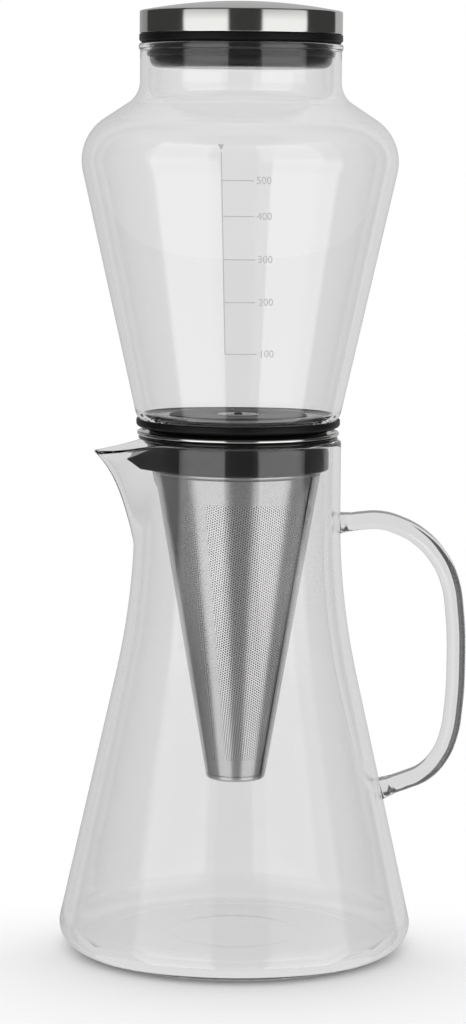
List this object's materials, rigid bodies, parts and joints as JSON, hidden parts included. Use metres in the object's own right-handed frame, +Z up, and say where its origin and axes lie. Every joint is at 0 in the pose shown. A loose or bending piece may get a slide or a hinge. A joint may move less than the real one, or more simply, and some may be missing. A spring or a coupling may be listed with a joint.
{
  "type": "cold brew coffee maker",
  "caption": "Slow-drip coffee maker: spouted glass carafe with rod handle, steel cone filter in a black holder, tapered glass water chamber with drip valve, steel-capped stopper.",
  "frame": {"origin": "centre of the carafe's flat foot, on the surface it stands on", "axes": "+Z up along the common axis of carafe, filter, chamber and stopper; +X towards the handle, -X towards the spout, -Y towards the printed scale"},
  "size_m": [0.1475, 0.128, 0.342],
  "materials": {
    "clear_glass": "borosilicate glass, clear and fire-polished",
    "polished_steel": "polished stainless steel",
    "filter_steel": "satin stainless sheet, finely perforated",
    "black_plastic": "black moulded plastic, half gloss",
    "black_silicone": "black moulded silicone"
  },
  "bodies": {
    "carafe": {"carafe_glass": "clear_glass", "carafe_handle": "clear_glass"},
    "holder": {"filter_holder": "black_plastic"},
    "filter": {"filter_rim": "polished_steel", "filter_cone": "filter_steel", "filter_bottom": "filter_steel"},
    "chamber": {"chamber_seat": "black_silicone", "chamber_glass": "clear_glass", "valve_inlet_washer": "black_silicone", "valve_body": "black_plastic", "valve_under_washer": "black_silicone", "valve_nut": "black_plastic"},
    "needle": {"valve_needle": "polished_steel", "valve_o_ring": "black_silicone"},
    "knob": {"valve_knob": "black_plastic", "valve_knob_screw": "polished_steel"},
    "lid": {"lid_gasket": "black_silicone", "lid_plug": "black_plastic", "lid_seal": "black_silicone", "lid_cap": "polished_steel"}
  },
  "joints": [
    {"name": "holder_lift", "type": "slide", "parent": "carafe", "child": "holder", "axis": [0, 0, 1], "range_m": [0, 0.13]},
    {"name": "filter_lift", "type": "slide", "parent": "holder", "child": "filter", "axis": [0, 0, 1], "range_m": [0, 0.13]},
    {"name": "chamber_lift", "type": "slide", "parent": "filter", "child": "chamber", "axis": [0, 0, 1], "range_m": [0, 0.035]},
    {"name": "valve_rise", "type": "slide", "parent": "chamber", "child": "needle", "axis": [0, 0, 1], "range_m": [-0.00076, 0]},
    {"name": "valve_turn", "type": "hinge", "parent": "needle", "child": "knob", "pos_m": [0, 0, 0.168], "axis": [0, 0, 1], "range_deg": [-270, 0]},
    {"name": "lid_lift", "type": "slide", "parent": "chamber", "child": "lid", "axis": [0, 0, 1], "range_m": [0, 0.025]}
  ],
  "couplings": [
    {"joint": "valve_rise", "follows": "valve_turn", "m_per_rad": 0.00015915}
  ]
}
